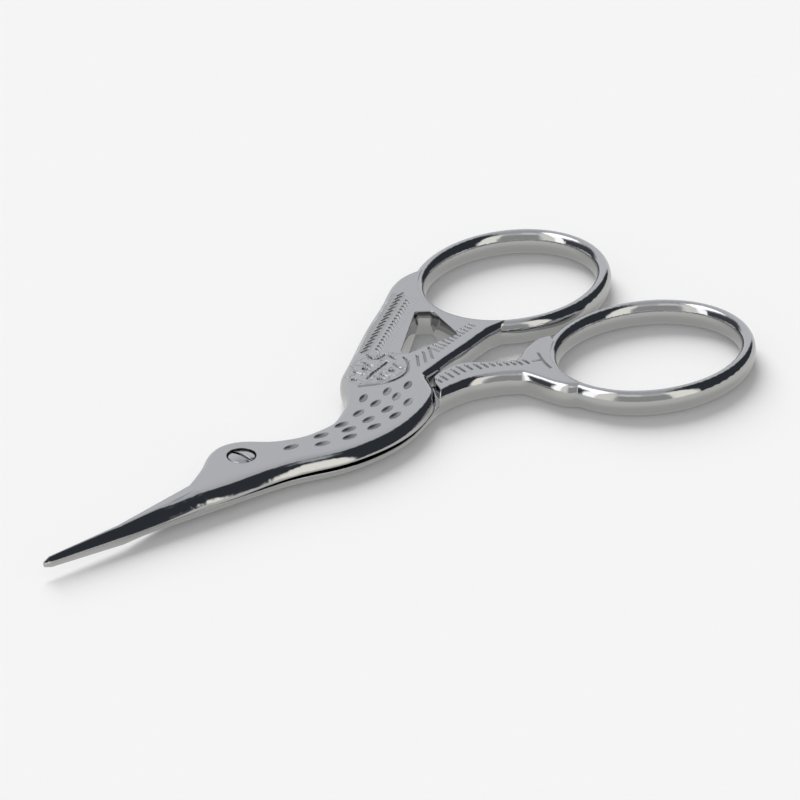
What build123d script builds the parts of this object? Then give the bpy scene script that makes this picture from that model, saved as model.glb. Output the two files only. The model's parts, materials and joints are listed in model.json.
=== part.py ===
"""Stork embroidery scissors: two steel halves that turn on one screw.

The origin is on the pivot axis, in the plane that the closed scissors lie on.
+X runs from the pivot to the finger bows, the beak points to -X, and +Z is up.
The top half carries the bow on the +Y side, the bottom half the one on the -Y side.
"""

import os

from build123d import *

os.makedirs("parts", exist_ok=True)

# Driving dimensions, in millimetres

beak_length = 28.3  # pivot axis to the tip of the closed blades
figure_length = 50.0  # the stork without its beak, which the outlines are shares of
plate_thickness = 3.0  # both halves together, and each leg by itself
blade_root = 8.0  # pivot axis to the section where the blades begin
tip_thickness = 1.0  # both blades together at the tip

bow_length = 23.3  # centre line of a bow, along its long axis
bow_width = 19.3  # centre line of a bow, across it
bow_turn = 6.9  # degrees that each bow's long axis spreads from X
bow_section_width = 1.8  # the bow's rod, seen from above
bow_section_height = 2.9  # the bow's rod, seen from the side
bow_gap = 1.35  # between the two closed bows

lap_clearance = 0.04  # between the flat inner faces of the two halves
stop_clearance = 0.15  # between each half's step and the other half, closed
hollow_start = 4.0  # the shallow hollow between the halves starts this far before the pivot
hollow_length = 27.0  # and is this long
hollow_depth = 0.22  # its depth in each half, at its deepest

screw_head_radius = 1.5
screw_head_height = 0.85
screw_head_crown = 0.2  # how far the head bulges above its rim
screw_head_recess = 0.1  # the head's rim lies this far inside the top face
screw_head_clearance = 0.1
screw_head_play = 0.03  # under the head, so that the top half turns
slot_width = 0.4
slot_depth = 0.45
slot_turn = 96.0  # degrees from X
shank_radius = 1.05
shank_clearance = 0.05
thread_radius = 0.9  # the threaded end, at its pitch line

overrun = 1.0  # how far a cutting shape runs past what it cuts

# Shares of figure_length: where the bows start, and the line midway between them
bow_start_share = 0.75
bow_middle_share = -0.0215

# Worked out sizes

middle = plate_thickness / 2
half_gap = lap_clearance / 2
bow_reach = figure_length * bow_start_share + bow_length / 2
bow_middle = figure_length * bow_middle_share
bow_offset = (bow_width + bow_section_width + bow_gap) / 2
top_bow = (bow_reach, bow_middle + bow_offset)
bottom_bow = (bow_reach, bow_middle - bow_offset)

# How the flanks round off. Each pair is a share of the half thickness above the
# middle plane, then the share of the whole flare that the flank has there. The
# lower part of the flank is a steep wall, and the upper part a rounded bevel.
flank_profile_shares = ((0.0, 1.0), (0.4, 0.93), (0.75, 0.68), (1.0, 0.0))

# The same for the blades, whose facets are almost flat
facet_profile_shares = ((0.0, 1.0), (0.4, 0.66), (0.75, 0.3), (1.0, 0.0))

# Outlines, as shares of figure_length. Each curve has two versions: where the
# flat face ends, and where the flank is widest, at half the thickness.

throat_shares = (
    (-0.160, -0.041), (-0.080, -0.048), (0.000, -0.064), (0.080, -0.084),
    (0.160, -0.113), (0.240, -0.123), (0.300, -0.122), (0.360, -0.116),
    (0.420, -0.100), (0.460, -0.083), (0.492, -0.055), (0.506, -0.024),
    (0.522, 0.010),
)
throat_flank_shares = (
    (-0.160, -0.078), (-0.080, -0.091), (0.000, -0.101), (0.074, -0.117),
    (0.152, -0.144), (0.240, -0.158), (0.306, -0.157), (0.372, -0.144),
    (0.434, -0.119), (0.478, -0.092), (0.508, -0.060), (0.524, -0.030),
    (0.538, -0.007),
)
neck_shares = (
    (-0.160, -0.020), (-0.120, -0.002), (-0.080, 0.020), (-0.040, 0.047),
    (0.000, 0.056), (0.040, 0.041), (0.080, 0.004), (0.120, -0.020),
    (0.160, -0.034), (0.200, -0.037), (0.240, -0.035), (0.280, -0.018),
    (0.310, 0.002),
)
neck_flank_shares = (
    (-0.160, -0.012), (-0.126, 0.009), (-0.088, 0.032), (-0.046, 0.060),
    (0.000, 0.070), (0.048, 0.053), (0.090, 0.014), (0.128, -0.008),
    (0.164, -0.020), (0.200, -0.023), (0.234, -0.021), (0.268, -0.006),
    (0.300, 0.011),
)
shoulder_shares = (
    (0.310, 0.002), (0.350, 0.044), (0.378, 0.078), (0.410, 0.114),
)
shoulder_flank_shares = (
    (0.300, 0.011), (0.336, 0.044), (0.366, 0.090), (0.400, 0.128),
)
wing_shares = (
    (0.410, 0.114), (0.480, 0.163), (0.600, 0.243), (0.700, 0.303),
    (0.760, 0.343), (0.850, 0.355),
)
wing_flank_shares = (
    (0.400, 0.128), (0.472, 0.175), (0.592, 0.255), (0.692, 0.316),
    (0.752, 0.354), (0.850, 0.362),
)
far_leg_shares = (
    (0.522, 0.010), (0.560, 0.017), (0.600, 0.025), (0.680, 0.041),
    (0.720, 0.050), (0.766, 0.062),
)
far_leg_flank_shares = (
    (0.538, -0.007), (0.566, -0.001), (0.604, 0.009), (0.684, 0.025),
    (0.724, 0.034), (0.778, 0.046),
)
far_foot_shares = ((0.766, 0.062), (0.830, 0.056))
far_foot_flank_shares = ((0.778, 0.046), (0.838, 0.048))

near_leg_inner_shares = (
    (0.538, -0.028), (0.560, -0.022), (0.590, -0.019), (0.616, -0.021),
    (0.640, -0.036), (0.680, -0.068), (0.704, -0.088), (0.722, -0.096),
    (0.740, -0.092), (0.770, -0.076), (0.800, -0.064), (0.850, -0.066),
)
near_leg_inner_flank_shares = (
    (0.538, -0.019), (0.560, -0.013), (0.590, -0.009), (0.622, -0.012),
    (0.650, -0.028), (0.690, -0.060), (0.710, -0.076), (0.724, -0.083),
    (0.736, -0.081), (0.762, -0.066), (0.796, -0.054), (0.856, -0.058),
)
near_leg_outer_shares = (
    (0.508, -0.078), (0.540, -0.075), (0.570, -0.077), (0.600, -0.082),
    (0.630, -0.093), (0.660, -0.108), (0.690, -0.128),
)
near_leg_outer_flank_shares = (
    (0.486, -0.094), (0.536, -0.091), (0.568, -0.093), (0.596, -0.098),
    (0.624, -0.109), (0.652, -0.123), (0.676, -0.141),
)
near_foot_shares = (
    (0.690, -0.128), (0.702, -0.140), (0.708, -0.160), (0.716, -0.192),
    (0.724, -0.224), (0.738, -0.250), (0.762, -0.262),
)
near_foot_flank_shares = (
    (0.676, -0.141), (0.687, -0.151), (0.693, -0.166), (0.700, -0.196),
    (0.708, -0.230), (0.723, -0.260), (0.750, -0.276),
)

# The hidden edge of the bottom half's body, under the wing
body_back_shares = (
    (0.330, 0.030), (0.360, 0.038), (0.410, 0.040), (0.470, 0.024), (0.516, -0.004),
)
# The face where the bottom half's leg steps up to its full thickness
leg_step_shares = (
    (0.545, -0.010), (0.538, -0.026), (0.520, -0.050), (0.508, -0.078),
    (0.487, -0.096), (0.470, -0.112),
)

window_shares = ((0.538, 0.091), (0.706, 0.222), (0.736, 0.196), (0.706, 0.079))
window_corner = 0.55
window_slope = 14.0  # degrees that its walls lean in, from each face to the middle

# The blade's section at a few stations, as shares of beak_length: distance from
# the pivot, then the spine, the two sides of the flat top and the cutting edge
blade_stations_shares = (
    (0.654, -0.0975, -0.0625, -0.0530, -0.0405),
    (0.968, -0.0510, -0.0335, -0.0318, -0.0290),
)
tip_shares = (1.0, -0.0440, -0.0380, -0.0370, -0.0355)
tip_nose_share = 0.55

# Ornament, as shares of figure_length: places, and turns in degrees
feather_pit_shares = (
    (0.102, -0.045, -10), (0.182, -0.052, -8), (0.162, -0.080, -15),
    (0.246, -0.047, -3), (0.244, -0.073, -5), (0.224, -0.098, -5),
    (0.306, -0.035, 12), (0.304, -0.070, 5), (0.292, -0.101, 0),
    (0.358, 0.007, 30), (0.362, -0.028, 15), (0.364, -0.064, 10),
    (0.358, -0.096, 10), (0.416, -0.006, 30), (0.416, -0.036, 30),
    (0.418, -0.072, 25), (0.468, -0.016, 30),
)
pit_length = 1.9
pit_width = 0.85
pit_depth = 0.22

groove_width = 0.3
groove_depth = 0.12
# Ticks across the far leg: first and last place, then the count and their lengths
far_leg_tick_shares = ((0.620, 0.064), (0.756, 0.088))
far_leg_tick_count = 11
far_leg_tick_lengths = (1.6, 0.9)
far_leg_tick_turn = 96
far_leg_bar_shares = ((0.558, 0.050, 52), (0.580, 0.052, 54), (0.602, 0.056, 58))
far_leg_bar_length = 2.6
# Ticks across the near leg: place and length
near_leg_tick_shares = (
    (0.532, -0.048, 0.022), (0.548, -0.046, 0.028), (0.566, -0.045, 0.030),
    (0.584, -0.044, 0.032), (0.602, -0.043, 0.034), (0.620, -0.048, 0.030),
    (0.637, -0.059, 0.030), (0.652, -0.066, 0.026), (0.666, -0.075, 0.020),
    (0.679, -0.084, 0.018), (0.692, -0.093, 0.018), (0.704, -0.103, 0.018),
    (0.716, -0.110, 0.022), (0.730, -0.116, 0.024),
)
near_leg_tick_turn = 84
toe_shares = ((0.778, -0.104), (0.762, -0.134), (0.750, -0.174))
toe_stem_shares = ((0.742, -0.124), (0.752, -0.128), (0.762, -0.134))

# The curled feathers where the wing leaves the body
curl_shares = (
    ((0.384, 0.054), (0.408, 0.040), (0.440, 0.025), (0.476, 0.021), (0.508, 0.030),
     (0.532, 0.054), (0.546, 0.084)),
    ((0.495, 0.148), (0.490, 0.134), (0.493, 0.120), (0.506, 0.116), (0.528, 0.122)),
    ((0.529, 0.112), (0.525, 0.099), (0.527, 0.086)),
    ((0.420, 0.064), (0.444, 0.074), (0.472, 0.082), (0.508, 0.092)),
    ((0.512, 0.078), (0.506, 0.064), (0.512, 0.048)),
    ((0.460, 0.066), (0.458, 0.052), (0.464, 0.040)),
    ((0.420, 0.108), (0.424, 0.096), (0.430, 0.084)),
    ((0.466, 0.128), (0.464, 0.112), (0.468, 0.098)),
)
curl_eye_shares = ((0.398, 0.082), (0.447, 0.102), (0.442, 0.046), (0.485, 0.056))
curl_eye_radius = 0.35

# Rows of vanes along the wing: first and last place, and the turn of each vane
vane_row_shares = (
    ((0.500, 0.162), (0.735, 0.302), 5),
    ((0.522, 0.144), (0.722, 0.266), 62),
)
vane_count = 17
vane_length = 1.2


def placed(shares, size=figure_length):
    """Outline shares as points in millimetres."""
    return [(x * size, y * size) for x, y in shares]


def between(first, second, share):
    """The points that lie a share of the way from one curve to another."""
    return [
        (x1 + (x2 - x1) * share, y1 + (y2 - y1) * share)
        for (x1, y1), (x2, y2) in zip(first, second)
    ]


def draw(curves):
    """Draw curves that meet end to end and close them with a straight line."""
    for points in curves:
        if len(points) == 2:
            Line(*points)
        else:
            Spline(*points)
    Line(curves[-1][-1], curves[0][0])


def rounded_plate(face_curves, flank_curves):
    """The half of a plate above its middle: a flat face with flared flanks."""
    face = [placed(curve) for curve in face_curves]
    flank = [placed(curve) for curve in flank_curves]
    with BuildPart() as plate:
        for height_share, flare_share in flank_profile_shares:
            with BuildSketch(Plane.XY.offset(middle + middle * height_share)):
                with BuildLine():
                    draw([between(a, b, flare_share) for a, b in zip(face, flank)])
                make_face()
        loft()
    return plate.part


def sided(curves):
    """The face curves and the flank curves of an outline, as two lists."""
    return [face for face, flank in curves], [flank for face, flank in curves]


def reverse(pair):
    """A curve's two versions, run the other way."""
    return tuple(reversed(pair[0])), tuple(reversed(pair[1]))


def blade_half(flipped):
    """The blade above the middle plane, flipped side to side for the other half."""
    root = [share * figure_length for share in (
        throat_flank_shares[0][1], throat_shares[0][1], neck_shares[0][1],
        neck_flank_shares[0][1],
    )]
    sections = [(blade_root, root, middle, flank_profile_shares)]
    for station, *places in (*blade_stations_shares, tip_shares):
        spine, near, far, edge = (share * beak_length for share in places)
        if flipped:
            near, far = spine + edge - far, spine + edge - near
        x = station * beak_length
        taper = (x - blade_root) / (beak_length - blade_root)
        rise = middle + (tip_thickness / 2 - middle) * taper
        if station == tip_shares[0]:
            rise *= tip_nose_share
        sections.append((x, [spine, near, far, edge], rise, facet_profile_shares))
    with BuildPart() as blade:
        for x, (spine, near, far, edge), rise, profile in sections:
            near_side = [
                (near + (spine - near) * out, middle + rise * up) for up, out in profile
            ]
            far_side = [
                (far + (edge - far) * out, middle + rise * up) for up, out in profile
            ]
            with BuildSketch(Plane.YZ.offset(-x)):
                with BuildLine():
                    Spline(*near_side)
                    Line(near_side[-1], far_side[-1])
                    Spline(*reversed(far_side))
                    Line(far_side[0], near_side[0])
                make_face()
        loft(ruled=True)
    return blade.part


def along(first, last, count):
    """Places in even steps from the first one to the last."""
    steps = [step / (count - 1) for step in range(count)]
    return [
        (first[0] + (last[0] - first[0]) * step, first[1] + (last[1] - first[1]) * step)
        for step in steps
    ]


def grooves(ticks, curves, circles=()):
    """Narrow straight ticks, curved lines and round eyes, as one sketch."""
    with BuildSketch() as pattern:
        for (x, y), turn, length in ticks:
            with Locations(Location((x, y), turn)):
                SlotOverall(length, groove_width)
        for points in curves:
            with BuildLine():
                Spline(*points)
            trace(line_width=groove_width)
        if circles:
            with Locations(*circles):
                Circle(curl_eye_radius)
    return pattern.sketch


def engraving(pattern):
    """The block that cuts a pattern into the top face."""
    with BuildPart() as block:
        with BuildSketch(Plane.XY.offset(plate_thickness - groove_depth)):
            add(pattern)
        extrude(amount=groove_depth + overrun)
    return block.part


def feather_pits():
    """The blocks that press the body's feathers into the top face.

    Each is an arc turned about an axis that is lifted off the face, so that it
    leaves a pit of the given length, width and depth. The arc runs on above the
    face, to where it has risen twice the pit's depth.
    """
    lift = ((pit_width / 2) ** 2 - pit_depth**2) / (2 * pit_depth)
    end = pit_length / 2**0.5
    rim = lift - pit_depth
    with BuildPart() as pit:
        with BuildSketch(Plane.XZ):
            with BuildLine():
                ThreePointArc((-end, rim), (0, lift + pit_depth), (end, rim))
                Polyline((end, rim), (end, 0), (-end, 0), (-end, rim))
            make_face()
        revolve(axis=Axis.X)
    height = plate_thickness + lift
    places = [
        Location((x * figure_length, y * figure_length, height), (0, 0, turn))
        for x, y, turn in feather_pit_shares
    ]
    with BuildPart() as pits:
        with Locations(*places):
            add(pit.part)
    return pits.part


def inner_face_tool(region, side):
    """What is cut from one half for the other, over a region seen from above.

    The cut runs from below the plate up to the inner face of the top half when
    side is 1, and from above it down to the bottom half's when side is -1. A
    shallow arc along the neck deepens it.
    """
    level = middle + side * half_gap
    outside = middle - side * (middle + overrun)
    start, end = -hollow_start, hollow_length - hollow_start
    reach = beak_length + overrun
    with BuildPart() as tool:
        with BuildSketch(Plane.XZ):
            with BuildLine():
                Polyline((start, level), (-reach, level), (-reach, outside))
                Polyline((-reach, outside), (figure_length, outside), (figure_length, level))
                Line((figure_length, level), (end, level))
                ThreePointArc(
                    (end, level),
                    ((start + end) / 2, level + side * hollow_depth),
                    (start, level),
                )
            make_face()
        extrude(amount=figure_length, both=True)
        with BuildSketch(Plane.XY.offset(-overrun)):
            with BuildLine():
                draw(region)
            make_face()
        extrude(amount=plate_thickness + 2 * overrun, mode=Mode.INTERSECT)
    return tool.part


def bow(centre, turn):
    """One finger bow: an oval rod bent round an oval centre line."""
    with BuildPart() as rod:
        with BuildLine(Plane.XY.offset(middle)) as path:
            EllipticalCenterArc(
                centre, bow_length / 2, bow_width / 2, arc_size=180, rotation=turn
            )
        inward = Vector(*centre, middle) - path.line @ 0
        with BuildSketch(Plane(path.line @ 0, x_dir=inward, z_dir=path.line % 0)):
            Ellipse(bow_section_width / 2, bow_section_height / 2)
        sweep(path=path.line)
        mirror(about=Plane(path.line @ 0, x_dir=inward, z_dir=path.line % 0))
    return rod.part


def bow_hole(centre, turn):
    """The oval that a bow's centre line encloses, as a cutting block."""
    with BuildPart() as hole:
        with BuildSketch(Plane.XY.offset(-overrun)):
            with Locations(centre):
                Ellipse(bow_length / 2, bow_width / 2, rotation=turn)
        extrude(amount=plate_thickness + 2 * overrun)
    return hole.part


def window_tool():
    """What is cut for the window in the wing, narrowest at half the thickness."""
    with BuildPart() as tool:
        with BuildSketch(Plane.XY.offset(plate_thickness)):
            with BuildLine():
                FilletPolyline(*placed(window_shares), radius=window_corner, close=True)
            make_face()
        extrude(amount=-middle, taper=window_slope)
        mirror(about=Plane.XY.offset(middle))
    return tool.part


# Outlines of the two halves, each curve with its face and flank versions

throat = (throat_shares, throat_flank_shares)
neck = (neck_shares, neck_flank_shares)
shoulder = (shoulder_shares, shoulder_flank_shares)
wing = (wing_shares, wing_flank_shares)
far_leg = (far_leg_shares, far_leg_flank_shares)
far_foot = (far_foot_shares, far_foot_flank_shares)
far_bow_side = (
    (far_foot_shares[-1], wing_shares[-1]),
    (far_foot_flank_shares[-1], wing_flank_shares[-1]),
)
near_leg_outer = (near_leg_outer_shares, near_leg_outer_flank_shares)
near_leg_inner = (near_leg_inner_shares, near_leg_inner_flank_shares)
near_foot = (near_foot_shares, near_foot_flank_shares)
near_bow_side = (
    (near_foot_shares[-1], near_leg_inner_shares[-1]),
    (near_foot_flank_shares[-1], near_leg_inner_flank_shares[-1]),
)
belly_count = 9
belly = (
    (*throat_shares[:belly_count], near_leg_outer_shares[0]),
    (*throat_flank_shares[:belly_count], near_leg_outer_flank_shares[0]),
)
body_back = (
    (near_leg_inner_shares[0], *reversed(body_back_shares), neck_shares[-1]),
    (near_leg_inner_flank_shares[0], *reversed(body_back_shares), neck_flank_shares[-1]),
)

top_outline = sided([
    throat, far_leg, far_foot, far_bow_side, reverse(wing), reverse(shoulder), reverse(neck),
])
bottom_outline = sided([
    belly, near_leg_outer, near_foot, near_bow_side, reverse(near_leg_inner), body_back,
    reverse(neck),
])
middle_plane = Plane.XY.offset(middle)

# The regions, seen from above, where each half leaves room for the other

reach = figure_length
body_back_points = [
    (x, y + stop_clearance)
    for x, y in placed((*body_back_shares, near_leg_inner_flank_shares[0]))
]
top_half_lap = [
    body_back_points,
    [body_back_points[-1], (body_back_points[-1][0], -reach)],
    [(body_back_points[-1][0], -reach), (-reach, -reach)],
    [(-reach, -reach), (-reach, reach)],
    [(-reach, reach), (body_back_points[0][0] - stop_clearance, reach)],
]
leg_step_points = placed(leg_step_shares)
bottom_half_lap = [
    leg_step_points,
    [leg_step_points[-1], (leg_step_points[-1][0], -reach)],
    [(leg_step_points[-1][0], -reach), (-reach, -reach)],
    [(-reach, -reach), (-reach, reach)],
    [(-reach, reach), (leg_step_points[0][0], reach)],
]

# Ornament of each half, cut into its upper face and mirrored to its lower one

tick_places = along(*(placed(far_leg_tick_shares)), far_leg_tick_count)
tick_lengths = along(
    (far_leg_tick_lengths[0], 0), (far_leg_tick_lengths[1], 0), far_leg_tick_count
)
wing_ticks = [
    (place, far_leg_tick_turn, length)
    for place, (length, _) in zip(tick_places, tick_lengths)
]
for x, y, turn in far_leg_bar_shares:
    wing_ticks.append((placed([(x, y)])[0], turn, far_leg_bar_length))
for first, last, turn in vane_row_shares:
    for place in along(*placed([first, last]), vane_count):
        wing_ticks.append((place, turn, vane_length))
wing_engraving = engraving(grooves(
    wing_ticks, [placed(curl) for curl in curl_shares], placed(curl_eye_shares)
))
leg_ticks = [
    (placed([(x, y)])[0], near_leg_tick_turn, length * figure_length)
    for x, y, length in near_leg_tick_shares
]
leg_engraving = engraving(grooves(leg_ticks, [placed(toe_shares), placed(toe_stem_shares)]))
body_pits = feather_pits()

# The screw

screw_head_top = plate_thickness - screw_head_recess
screw_head_bottom = screw_head_top - screw_head_height
with BuildPart() as pivot_screw:
    with BuildSketch(Plane.XZ):
        with BuildLine():
            Polyline(
                (0, screw_head_top + screw_head_crown),
                (0, 0),
                (thread_radius, 0),
                (thread_radius, middle - half_gap),
                (shank_radius, middle - half_gap),
                (shank_radius, screw_head_bottom),
                (screw_head_radius, screw_head_bottom),
                (screw_head_radius, screw_head_top),
            )
            ThreePointArc(
                (screw_head_radius, screw_head_top),
                (screw_head_radius / 2, screw_head_top + screw_head_crown * 3 / 4),
                (0, screw_head_top + screw_head_crown),
            )
        make_face()
    revolve(axis=Axis.Z)
    slot_floor = screw_head_top + screw_head_crown - slot_depth
    with BuildSketch(Plane.XY.offset(slot_floor)):
        Rectangle(2 * screw_head_radius + overrun, slot_width, rotation=slot_turn)
    extrude(amount=slot_depth + overrun, mode=Mode.SUBTRACT)
pivot_screw.part.label = "pivot_screw"

with BuildPart() as top_half:
    add(rounded_plate(*top_outline))
    mirror(about=middle_plane)
    add(inner_face_tool(top_half_lap, 1), mode=Mode.SUBTRACT)
    add(body_pits, mode=Mode.SUBTRACT)
    add(blade_half(flipped=False))
    add(bow_hole(top_bow, bow_turn), mode=Mode.SUBTRACT)
    add(bow(top_bow, bow_turn))
    add(window_tool(), mode=Mode.SUBTRACT)
    with BuildSketch(Plane.XY.offset(plate_thickness)):
        Circle(screw_head_radius + screw_head_clearance)
    extrude(amount=screw_head_bottom - screw_head_play - plate_thickness, mode=Mode.SUBTRACT)
    with Locations(Plane.XY.offset(plate_thickness)):
        Hole(shank_radius + shank_clearance, depth=plate_thickness)
    add(wing_engraving, mode=Mode.SUBTRACT)
    add(mirror(wing_engraving, about=middle_plane, mode=Mode.PRIVATE), mode=Mode.SUBTRACT)
top_half.part.label = "top_half"

with BuildPart() as bottom_half:
    add(rounded_plate(*bottom_outline))
    mirror(about=middle_plane)
    add(inner_face_tool(bottom_half_lap, -1), mode=Mode.SUBTRACT)
    add(mirror(blade_half(flipped=True), about=middle_plane, mode=Mode.PRIVATE))
    add(bow_hole(bottom_bow, -bow_turn), mode=Mode.SUBTRACT)
    add(bow(bottom_bow, -bow_turn))
    with Locations(middle_plane):
        Hole(thread_radius, depth=plate_thickness)
    add(mirror(body_pits, about=middle_plane, mode=Mode.PRIVATE), mode=Mode.SUBTRACT)
    add(leg_engraving, mode=Mode.SUBTRACT)
    add(mirror(leg_engraving, about=middle_plane, mode=Mode.PRIVATE), mode=Mode.SUBTRACT)
bottom_half.part.label = "bottom_half"

for piece in (top_half, bottom_half, pivot_screw):
    export_step(piece.part, f"parts/{piece.part.label}.step")
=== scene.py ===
# %% [markdown]
# # Stork embroidery scissors
#
# Small steel scissors lie closed on a pale table. The stork's beak is the pair
# of blades, its eye is the pivot screw, and its legs end in two finger bows.
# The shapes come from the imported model, in metres. This script gives them their
# finish: polished flanks and bows, satin top faces, and a few fine feathers.

# %% Load the frame
import bpy
import json
import math
from mathutils import Matrix, Vector

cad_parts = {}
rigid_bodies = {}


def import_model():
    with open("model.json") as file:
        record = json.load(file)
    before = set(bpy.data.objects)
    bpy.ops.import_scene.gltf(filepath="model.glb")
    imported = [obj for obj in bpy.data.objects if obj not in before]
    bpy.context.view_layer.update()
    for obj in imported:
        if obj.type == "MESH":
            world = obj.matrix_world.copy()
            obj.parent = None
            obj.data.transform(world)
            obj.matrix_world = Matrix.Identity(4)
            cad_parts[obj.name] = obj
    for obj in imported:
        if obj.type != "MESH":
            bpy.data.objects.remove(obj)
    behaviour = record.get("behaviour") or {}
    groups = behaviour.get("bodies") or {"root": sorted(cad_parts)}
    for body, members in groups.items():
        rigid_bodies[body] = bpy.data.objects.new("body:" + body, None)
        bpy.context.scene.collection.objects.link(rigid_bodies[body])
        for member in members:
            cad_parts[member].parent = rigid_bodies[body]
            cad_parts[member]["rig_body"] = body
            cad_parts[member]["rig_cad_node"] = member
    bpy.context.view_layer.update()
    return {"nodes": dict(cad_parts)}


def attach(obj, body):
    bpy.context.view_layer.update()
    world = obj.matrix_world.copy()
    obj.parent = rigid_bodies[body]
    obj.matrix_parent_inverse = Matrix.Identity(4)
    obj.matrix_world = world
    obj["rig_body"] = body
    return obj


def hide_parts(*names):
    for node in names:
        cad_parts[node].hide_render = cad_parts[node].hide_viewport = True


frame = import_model()
mm = 0.001

# %% [markdown]
# ## Shader maths
#
# A material is a graph of nodes. Wrapping a socket in a small class lets the
# graph be written as ordinary sums: `1 - mask` adds a Math node by itself.

# %% A socket that can be added and multiplied
class Value:
    """A node socket that stands in sums of numbers."""

    def __init__(self, graph, socket):
        self.graph = graph
        self.socket = socket

    def __add__(self, other):
        return self.graph.maths("ADD", self, other)

    def __radd__(self, other):
        return self.graph.maths("ADD", other, self)

    def __sub__(self, other):
        return self.graph.maths("SUBTRACT", self, other)

    def __rsub__(self, other):
        return self.graph.maths("SUBTRACT", other, self)

    def __mul__(self, other):
        return self.graph.maths("MULTIPLY", self, other)

    def __rmul__(self, other):
        return self.graph.maths("MULTIPLY", other, self)

    def __truediv__(self, other):
        return self.graph.maths("DIVIDE", self, other)

    def absolute(self):
        return self.graph.maths("ABSOLUTE", self)

    def between(self, low, high):
        """0 below low, 1 above high, and smooth from one to the other."""
        return self.graph.value(
            "ShaderNodeMapRange", {"interpolation_type": "SMOOTHSTEP"},
            {"Value": self, "From Min": low, "From Max": high}, "Result",
        )


# %% The graph that the sockets belong to
class Graph:
    """The nodes of one material or world."""

    def __init__(self, owner):
        owner.use_nodes = True
        self.tree = owner.node_tree
        self.tree.nodes.clear()

    def node(self, kind, settings=None, inputs=None):
        """One node, with its settings made first and then its sockets filled."""
        made = self.tree.nodes.new(kind)
        for name, setting in (settings or {}).items():
            setattr(made, name, setting)
        for name, given in (inputs or {}).items():
            if isinstance(given, Value):
                given = given.socket
            if isinstance(given, bpy.types.NodeSocket):
                self.tree.links.new(given, made.inputs[name])
            else:
                made.inputs[name].default_value = given
        return made

    def value(self, kind, settings=None, inputs=None, output=0):
        """One node, of which a single output is used in sums."""
        return Value(self, self.node(kind, settings, inputs).outputs[output])

    def maths(self, operation, *inputs):
        return self.value(
            "ShaderNodeMath", {"operation": operation}, dict(enumerate(inputs))
        )

    def axes(self, vector):
        """The three parts of a vector."""
        split = self.node("ShaderNodeSeparateXYZ", {}, {"Vector": vector})
        return [Value(self, socket) for socket in split.outputs]

    def vector(self, x=0.0, y=0.0, z=0.0):
        return self.value("ShaderNodeCombineXYZ", {}, {"X": x, "Y": y, "Z": z})

    def blend(self, share, first, second):
        """A colour that runs from the first to the second as share grows."""
        inputs = {"Factor": share, 6: first, 7: second}
        return self.value("ShaderNodeMix", {"data_type": "RGBA"}, inputs, 2)

    def noise(self, place, scale, detail, distortion=0.0):
        return self.value("ShaderNodeTexNoise", {}, {
            "Vector": place, "Scale": scale, "Detail": detail, "Distortion": distortion,
        })

    def attribute(self, name):
        return self.value("ShaderNodeAttribute", {"attribute_name": name}, {}, "Fac")

    def mixed(self, share, first, second):
        """A shader that turns from the first into the second as share grows."""
        return self.value("ShaderNodeMixShader", {}, {0: share, 1: first, 2: second})

    def end(self, kind, surface):
        self.node(kind, {}, {"Surface": surface})


print("Graphs can now be written as sums")

# %% [markdown]
# ## The camera
#
# The photograph was taken with a long lens from about 30 degrees above the table.
# The camera's place was solved from the two oval bows and the overall length.

# %% Camera
LOOK_AT = Vector((24.08, 1.26, 0.0)) * mm
CAMERA_DISTANCE = 636.6 * mm
CAMERA_AZIMUTH = math.radians(-41.986)
CAMERA_ELEVATION = math.radians(29.667)
CAMERA_ROLL = math.radians(-0.444)
CAMERA_LENS = 260.14
SENSOR_WIDTH = 36.0

back = Vector((
    math.sin(CAMERA_AZIMUTH) * math.cos(CAMERA_ELEVATION),
    -math.cos(CAMERA_AZIMUTH) * math.cos(CAMERA_ELEVATION),
    math.sin(CAMERA_ELEVATION),
))
camera_data = bpy.data.cameras.new("camera")
camera_data.sensor_width = SENSOR_WIDTH
camera_data.lens = CAMERA_LENS
camera_data.clip_start = 0.01
camera_data.clip_end = 20.0
camera = bpy.data.objects.new("camera", camera_data)
bpy.context.scene.collection.objects.link(camera)
camera.location = LOOK_AT + back * CAMERA_DISTANCE
aim = (-back).to_track_quat("-Z", "Y")
camera.rotation_mode = "QUATERNION"
camera.rotation_quaternion = aim @ Matrix.Rotation(CAMERA_ROLL, 3, "Z").to_quaternion()
bpy.context.scene.camera = camera
print("The camera stands at", [round(v, 3) for v in camera.location])

# %% [markdown]
# ## Table and light
#
# Polished steel shows what stands round it, so the light is mostly a matter of
# what the steel sees: a table, dark and bright panels round it, a pale ceiling.

# %% Table
TABLE_SIZE = 6.0
TABLE_DROP = 0.02 * mm
TABLE_COLOUR = (0.9, 0.9, 0.905, 1.0)
MIRRORED_TABLE_COLOUR = (0.33, 0.33, 0.325, 1.0)
MIRRORED_TABLE_GLOW = (0.36, 0.36, 0.355, 1.0)

bpy.ops.object.select_all(action="DESELECT")
bpy.ops.mesh.primitive_plane_add(size=TABLE_SIZE, location=(0.0, 0.0, -TABLE_DROP))
table = bpy.context.object
table.name = "table"
table_paint = bpy.data.materials.new("table_paint")
graph = Graph(table_paint)
pale = graph.value("ShaderNodeBsdfDiffuse", {}, {"Color": TABLE_COLOUR})
greyer = graph.value("ShaderNodeBsdfDiffuse", {}, {"Color": MIRRORED_TABLE_COLOUR})
glow = graph.value("ShaderNodeEmission", {}, {"Color": MIRRORED_TABLE_GLOW})
mirrored_table = graph.value("ShaderNodeAddShader", {}, {0: greyer, 1: glow})
rays = graph.node("ShaderNodeLightPath").outputs
graph.end("ShaderNodeOutputMaterial", graph.mixed(rays["Is Glossy Ray"], pale, mirrored_table))
table.data.materials.append(table_paint)
print("The table is", TABLE_SIZE, "m wide")

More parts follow.
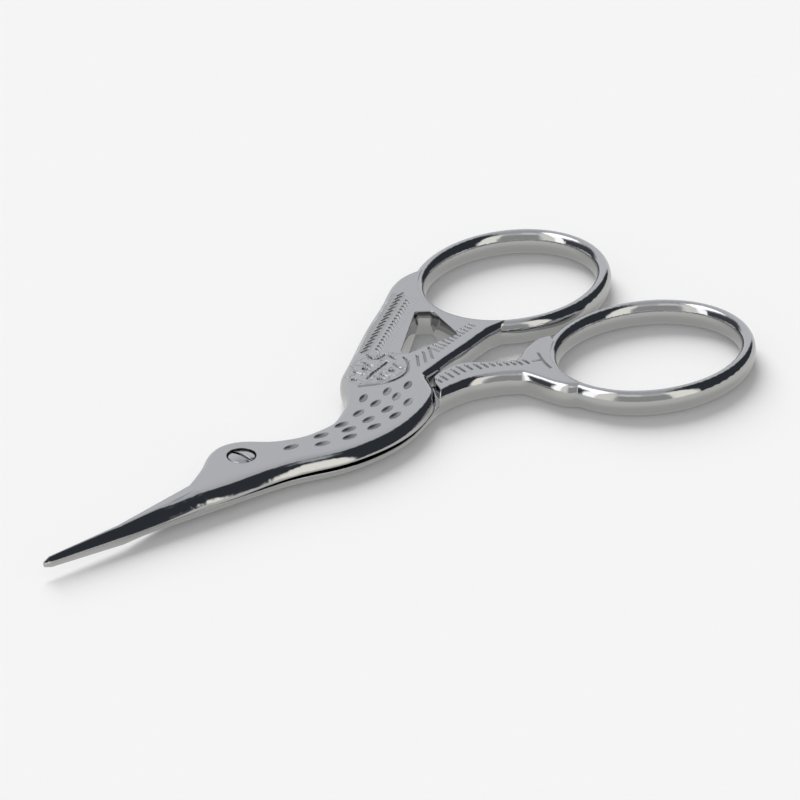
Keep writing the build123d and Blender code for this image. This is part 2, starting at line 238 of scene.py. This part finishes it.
# %% Directions in the room
TOWARD_CAMERA = (-0.669, -0.743)
TO_THE_RIGHT = (0.743, -0.669)

world = bpy.data.worlds.new("studio")
bpy.context.scene.world = world
graph = Graph(world)
x, y, z = graph.axes(graph.node("ShaderNodeTexCoord").outputs["Generated"])
front = x * TOWARD_CAMERA[0] + y * TOWARD_CAMERA[1]
right = x * TO_THE_RIGHT[0] + y * TO_THE_RIGHT[1]
turn = graph.maths("ARCTAN2", right, front) * math.degrees(1.0)
height = graph.maths("ARCSINE", z) * math.degrees(1.0)


def panel(turns, heights, soft):
    """1 inside a range of turns and heights, in degrees, with a soft edge."""
    across = turn.between(turns[0] - soft, turns[0] + soft)
    across = across * (1 - turn.between(turns[1] - soft, turns[1] + soft))
    up = height.between(heights[0] - soft, heights[0] + soft)
    return across * up * (1 - height.between(heights[1] - soft, heights[1] + soft))


# %% [markdown]
# Each panel has a range of turns round the table, where 0 is toward the camera and
# 90 is to the right, a range of heights above the table, a soft edge, and a colour.

# %% The room that the steel mirrors
LOW_ROOM_COLOUR = (0.72, 0.74, 0.78, 1.0)
HIGH_ROOM_COLOUR = (0.50, 0.51, 0.53, 1.0)
PANELS = (
    ((-135.0, -42.0), (-12.0, 38.0), 9.0, (0.07, 0.075, 0.09)),
    ((-20.0, 38.0), (-90.0, 44.0), 6.0, (0.39, 0.39, 0.39)),
    ((60.0, 148.0), (-90.0, 69.0), 4.0, (0.038, 0.043, 0.052)),
    ((38.0, 60.0), (-4.0, 54.0), 3.0, (1.20, 1.18, 1.08)),
    ((-44.0, -22.0), (-20.0, 62.0), 5.0, (0.98, 0.97, 0.92)),
    ((-20.0, 12.0), (46.0, 66.0), 5.0, (0.85, 0.86, 0.88)),
    ((-60.0, -43.0), (-30.0, 60.0), 3.0, (1.7, 1.7, 1.72)),
    ((-112.0, -42.0), (44.0, 76.0), 4.0, (2.1, 2.12, 2.2)),
)
room = graph.blend(height.between(30.0, 80.0), LOW_ROOM_COLOUR, HIGH_ROOM_COLOUR)
for turns, heights, soft, colour in PANELS:
    room = graph.blend(panel(turns, heights, soft), room, (*colour, 1.0))
print(len(PANELS), "panels stand in the room")

# %% World
WHITE = (1.0, 1.0, 1.0, 1.0)
ROOM_LIGHT = 0.46


def background(colour, strength):
    inputs = {"Color": colour, "Strength": strength}
    return graph.value("ShaderNodeBackground", {}, inputs)


rays = graph.node("ShaderNodeLightPath").outputs
seen = background(TABLE_COLOUR, 1.0)
felt = background(WHITE, ROOM_LIGHT)
mirrored = background(room, 1.0)
lit = graph.mixed(rays["Is Glossy Ray"], felt, mirrored)
graph.end("ShaderNodeOutputWorld", graph.mixed(rays["Is Camera Ray"], lit, seen))

# %% Light from a window behind the scissors
SUN_TURN = math.radians(162.0)
SUN_HEIGHT = math.radians(33.0)
SUN_WIDTH = math.radians(42.0)
SUN_STRENGTH = 3.2

sun_data = bpy.data.lights.new("window_light", "SUN")
sun_data.energy = SUN_STRENGTH
sun_data.angle = SUN_WIDTH
sun = bpy.data.objects.new("window_light", sun_data)
bpy.context.scene.collection.objects.link(sun)
toward_sun = Vector((0.0, 0.0, math.sin(SUN_HEIGHT)))
for axis in (0, 1):
    flat_part = math.cos(SUN_TURN) * TOWARD_CAMERA[axis]
    flat_part -= math.sin(SUN_TURN) * TO_THE_RIGHT[axis]
    toward_sun[axis] = flat_part * math.cos(SUN_HEIGHT)
sun.rotation_mode = "QUATERNION"
sun.rotation_quaternion = toward_sun.to_track_quat("Z", "Y")
sun.visible_glossy = False
bpy.context.scene.view_settings.view_transform = "Standard"
print("The light comes from", [round(v, 2) for v in toward_sun])

# %% [markdown]
# ## The three steel pieces
#
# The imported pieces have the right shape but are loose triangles, so each one is
# copied, its triangles are joined, and its curved sides are shaded smooth while
# its real edges stay crisp. Each face is also told what finish it gets: satin on
# the flat top and bottom, pressed where the ornament is, polished elsewhere.

# %% Places of the ornament, in millimetres
TOP = 3.0
GROOVE_FLOOR = 2.88
NEAR = 0.004
FIGURE_LENGTH = 50.0
WING_TURN = math.radians(30.8)
WING_SPINE = 6.48
VANES_START = 24.8
VANES_END = 40.0
VANES_HALF_WIDTH = 1.6
PIT_LENGTH = 2.0
PIT_WIDTH = 0.95
LOWEST_PIT = 2.7

# Each pit's place, as shares of FIGURE_LENGTH, and its turn in degrees
FEATHER_PITS = (
    (0.102, -0.045, -10), (0.182, -0.052, -8), (0.162, -0.080, -15),
    (0.246, -0.047, -3), (0.244, -0.073, -5), (0.224, -0.098, -5),
    (0.306, -0.035, 12), (0.304, -0.070, 5), (0.292, -0.101, 0),
    (0.358, 0.007, 30), (0.362, -0.028, 15), (0.364, -0.064, 10),
    (0.358, -0.096, 10), (0.416, -0.006, 30), (0.416, -0.036, 30),
    (0.418, -0.072, 25), (0.468, -0.016, 30),
)


# %% Where a point lies
def in_a_pit(point):
    """True over one of the feather pits, which are ovals."""
    for x_share, y_share, turned in FEATHER_PITS:
        off = point.xy - Vector((x_share, y_share)) * FIGURE_LENGTH
        off.rotate(Matrix.Rotation(math.radians(-turned), 2))
        if (2 * off.x / PIT_LENGTH) ** 2 + (2 * off.y / PIT_WIDTH) ** 2 < 1:
            return True
    return False


def wing_place(x, y):
    """How far a place lies along the wing, and across it from its spine."""
    along = x * math.cos(WING_TURN) + y * math.sin(WING_TURN)
    across = y * math.cos(WING_TURN) - x * math.sin(WING_TURN)
    return along, across + WING_SPINE


def in_the_vanes(point):
    """True in the two rows of vanes that are pressed into the wing."""
    along, across = wing_place(point.x, point.y)
    return VANES_START < along < VANES_END and abs(across) < VANES_HALF_WIDTH


# %% The finish of a face
FLAT, NEARLY_FLAT, SLOPED = 0.999, 0.99, 0.6
FINISHES = ("satin", "pressed", "vane")


def finish_of(centre, normal):
    """How much of each finish a face gets, by where it lies and how it faces."""
    height = max(centre.z, TOP - centre.z)
    level = abs(normal.z)
    if GROOVE_FLOOR - 0.01 < height < TOP - NEAR and in_the_vanes(centre):
        return 1.0, 0.0, 1.0
    if level > FLAT and height > TOP - NEAR:
        return 1.0, 0.0, 0.0
    if level > NEARLY_FLAT and abs(height - GROOVE_FLOOR) < 0.01:
        return 1.0, 1.0, 0.0
    if level > SLOPED and LOWEST_PIT < height < TOP - NEAR / 2 and in_a_pit(centre):
        return 1.0, 1.0, 0.0
    return 0.0, 0.0, 0.0


# %% Rims
def lies_on_a_flat(face):
    """True for a face of the flat top or the flat bottom."""
    height = face.center.z / mm
    return abs(face.normal.z) > FLAT and min(abs(height - TOP), abs(height)) < NEAR


def keep_rims_crisp(mesh):
    """Mark the edges round the flat top and bottom, so that these shade as flat."""
    sides = {}
    for face in mesh.polygons:
        flat = lies_on_a_flat(face)
        for key in face.edge_keys:
            sides.setdefault(key, set()).add(flat)
    for edge in mesh.edges:
        if len(sides.get(edge.key, ())) > 1:
            edge.use_edge_sharp = True


# %% Join a copy's triangles and smooth its curved sides
WELD = 0.002 * mm
THINNEST_FACE = 0.001 * mm
SMOOTH_BELOW = math.radians(32)


def join_and_smooth(piece):
    """One closed mesh out of loose triangles, smooth except at its real edges."""
    piece.select_set(True)
    bpy.context.view_layer.objects.active = piece
    bpy.ops.mesh.customdata_custom_splitnormals_clear()
    bpy.ops.object.mode_set(mode="EDIT")
    bpy.ops.mesh.select_all(action="SELECT")
    bpy.ops.mesh.remove_doubles(threshold=WELD)
    bpy.ops.mesh.dissolve_degenerate(threshold=THINNEST_FACE)
    bpy.ops.object.mode_set(mode="OBJECT")
    bpy.ops.object.shade_smooth_by_angle(angle=SMOOTH_BELOW)
    keep_rims_crisp(piece.data)
    weights = piece.modifiers.new("weights", "WEIGHTED_NORMAL")
    weights.keep_sharp = True
    bpy.ops.object.modifier_apply(modifier=weights.name)


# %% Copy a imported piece
def dressed(name, body):
    """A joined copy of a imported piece, which takes its place and knows its finish."""
    bpy.ops.object.select_all(action="DESELECT")
    piece = frame["nodes"][name].copy()
    piece.data = piece.data.copy()
    piece.parent = None
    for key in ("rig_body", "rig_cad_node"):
        if key in piece:
            del piece[key]
    piece.name = name + "_steel"
    bpy.context.scene.collection.objects.link(piece)
    join_and_smooth(piece)
    faces = piece.data.polygons
    finishes = [finish_of(face.center / mm, face.normal) for face in faces]
    for title, shares in zip(FINISHES, zip(*finishes)):
        layer = piece.data.attributes.new(title, "FLOAT", "FACE")
        layer.data.foreach_set("value", shares)
        print(name, "has", len(faces), "faces, of which", int(sum(shares)), title)
    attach(piece, body)
    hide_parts(name)
    return piece


# %% The two halves and the screw
top = dressed("top_half", "top")
bottom = dressed("bottom_half", "bottom")
screw = dressed("pivot_screw", "bottom")

# %% [markdown]
# ## Steel
#
# One steel with several finishes. Roughness is the main thing that changes: low
# where it was buffed, higher on the satin faces, and highest in the pressed
# ornament, where polish never reached. The colour is darker in patches there,
# and a dark ring round the screw is painted shade, in place of the shadow in the seam.

# %% Colours and finishes of the steel
STEEL_COLOUR = (0.56, 0.56, 0.56, 1.0)
# Dark colour for the darker patches in the pressed ornament and for the painted seam shade
# round the screw
DARK_PATCH_AND_SEAM_SHADE_COLOUR = (0.10, 0.095, 0.09, 1.0)
POLISH = 0.04
SCREW_POLISH = 0.16
CLOUD_ROUGHNESS = 0.03
SATIN_ROUGHNESS = 0.20
PRESSED_ROUGHNESS = 0.12
VANE_ROUGHNESS = 0.20
VANE_DULLNESS = 0.7
PRESSED_DARKENING_SHARE = 0.55
SEAM_RADIUS = 1.55
EASED_EDGE = 0.2 * mm
RELIEF_HEIGHT = 0.09 * mm
GRAIN_RELIEF = 0.05
SWELL_RELIEF = 0.9


# %% A steel material
def steel(name, relief_of, polish=POLISH):
    """Steel whose finish follows the faces' satin, pressed and vane values."""
    made = bpy.data.materials.new(name)
    graph = Graph(made)
    place = graph.node("ShaderNodeTexCoord").outputs["Object"]
    x, y, z = (axis * (1 / mm) for axis in graph.axes(place))
    satin, pressed, vane = (graph.attribute(title) for title in FINISHES)
    cloud = graph.noise(place, 260.0, 3.0)
    grain = graph.noise(place, 9000.0, 2.0)
    swell = graph.noise(place, 130.0, 1.0)
    from_screw = graph.value(
        "ShaderNodeVectorMath", {"operation": "LENGTH"},
        {"Vector": graph.vector(x, y)}, "Value",
    )
    roughness = polish + cloud * CLOUD_ROUGHNESS + satin * SATIN_ROUGHNESS
    roughness = roughness + pressed * PRESSED_ROUGHNESS + vane * VANE_ROUGHNESS
    # Painted shade: a dark ring round the screw, in place of the shadow in the seam between
    # screw head and plate
    painted_seam_shade = 1 - (from_screw - SEAM_RADIUS).absolute().between(0.04, 0.10)
    # The pressed ornament is darker in patches
    pressed_dark_and_seam_shade = pressed * cloud.between(0.2, 0.7) * PRESSED_DARKENING_SHARE
    pressed_dark_and_seam_shade = pressed_dark_and_seam_shade + painted_seam_shade * (1 - pressed_dark_and_seam_shade)
    own_relief, calm = relief_of(graph, x, y, from_screw)
    relief = grain * (satin + vane) * GRAIN_RELIEF + swell * SWELL_RELIEF + own_relief
    eased = graph.value("ShaderNodeBevel", {"samples": 6}, {"Radius": EASED_EDGE})
    side = z.between(TOP / 2 - 0.1, TOP / 2 + 0.1) * 2 - 1
    calmed = graph.value("ShaderNodeMix", {"data_type": "VECTOR"}, {
        "Factor": calm, 4: eased, 5: graph.vector(z=side),
    }, 1)
    bump = graph.value("ShaderNodeBump", {}, {
        "Height": relief, "Distance": RELIEF_HEIGHT, "Strength": 1.0, "Normal": calmed,
    })
    graph.end("ShaderNodeOutputMaterial", graph.value("ShaderNodeBsdfPrincipled", {}, {
        # The base colour darkens in the pressed patches and in the painted seam shade round
        # the screw
        "Base Color": graph.blend(pressed_dark_and_seam_shade, STEEL_COLOUR, DARK_PATCH_AND_SEAM_SHADE_COLOUR),
        "Metallic": 1 - vane * VANE_DULLNESS, "Roughness": roughness, "Normal": bump,
    }))
    return made


# %% [markdown]
# Each piece adds its own light relief, finer than its shape. A relief function
# gives that height, and how far the surface is calmed toward a flat face.

# %% Relief of the feathers
VANE_STEP = 0.62
VANE_SLANT = 0.9
VANE_RELIEF = 0.6
VANE_CALM = 0.8
CURLS = (23.4, 4.3)
CURLS_LENGTH = 4.6
CURLS_WIDTH = 2.9
CURL_RELIEF = 0.9


def feather_relief(graph, x, y, from_screw):
    """Fine vanes on the wing, and curled feathers where the wing leaves the body."""
    along, across = wing_place(x, y)
    spine = across.absolute()
    phase = (along + spine * VANE_SLANT) / VANE_STEP
    wave = graph.maths("PINGPONG", phase, 0.5) * 2.0
    rows = (1 - spine.between(1.5, 1.8)) * along.between(24.6, 25.4)
    rows = rows * (1 - along.between(39.0, 40.0))
    off_x = (x - CURLS[0]) / CURLS_LENGTH
    off_y = (y - CURLS[1]) / CURLS_WIDTH
    oval = 1 - (off_x * off_x + off_y * off_y).between(0.75, 1.0)
    curls = graph.noise(graph.vector(x, y), 0.55, 1.0, 2.2).between(0.42, 0.56)
    return wave * rows * VANE_RELIEF + curls * oval * CURL_RELIEF, rows * VANE_CALM


# %% Relief of the screw and the lower half
def domed_relief(graph, x, y, from_screw):
    """The head of the screw falls away toward its rim."""
    return from_screw * from_screw * -1.0, 0.0


def no_relief(graph, x, y, from_screw):
    return 0.0, 0.0


# %% Dress the pieces
for piece, finish in (
    (top, steel("polished_steel", feather_relief)),
    (bottom, steel("leg_steel", no_relief)),
    (screw, steel("screw_steel", domed_relief, polish=SCREW_POLISH)),
):
    piece.data.materials.clear()
    piece.data.materials.append(finish)
    print(piece.name, "is made of", finish.name)
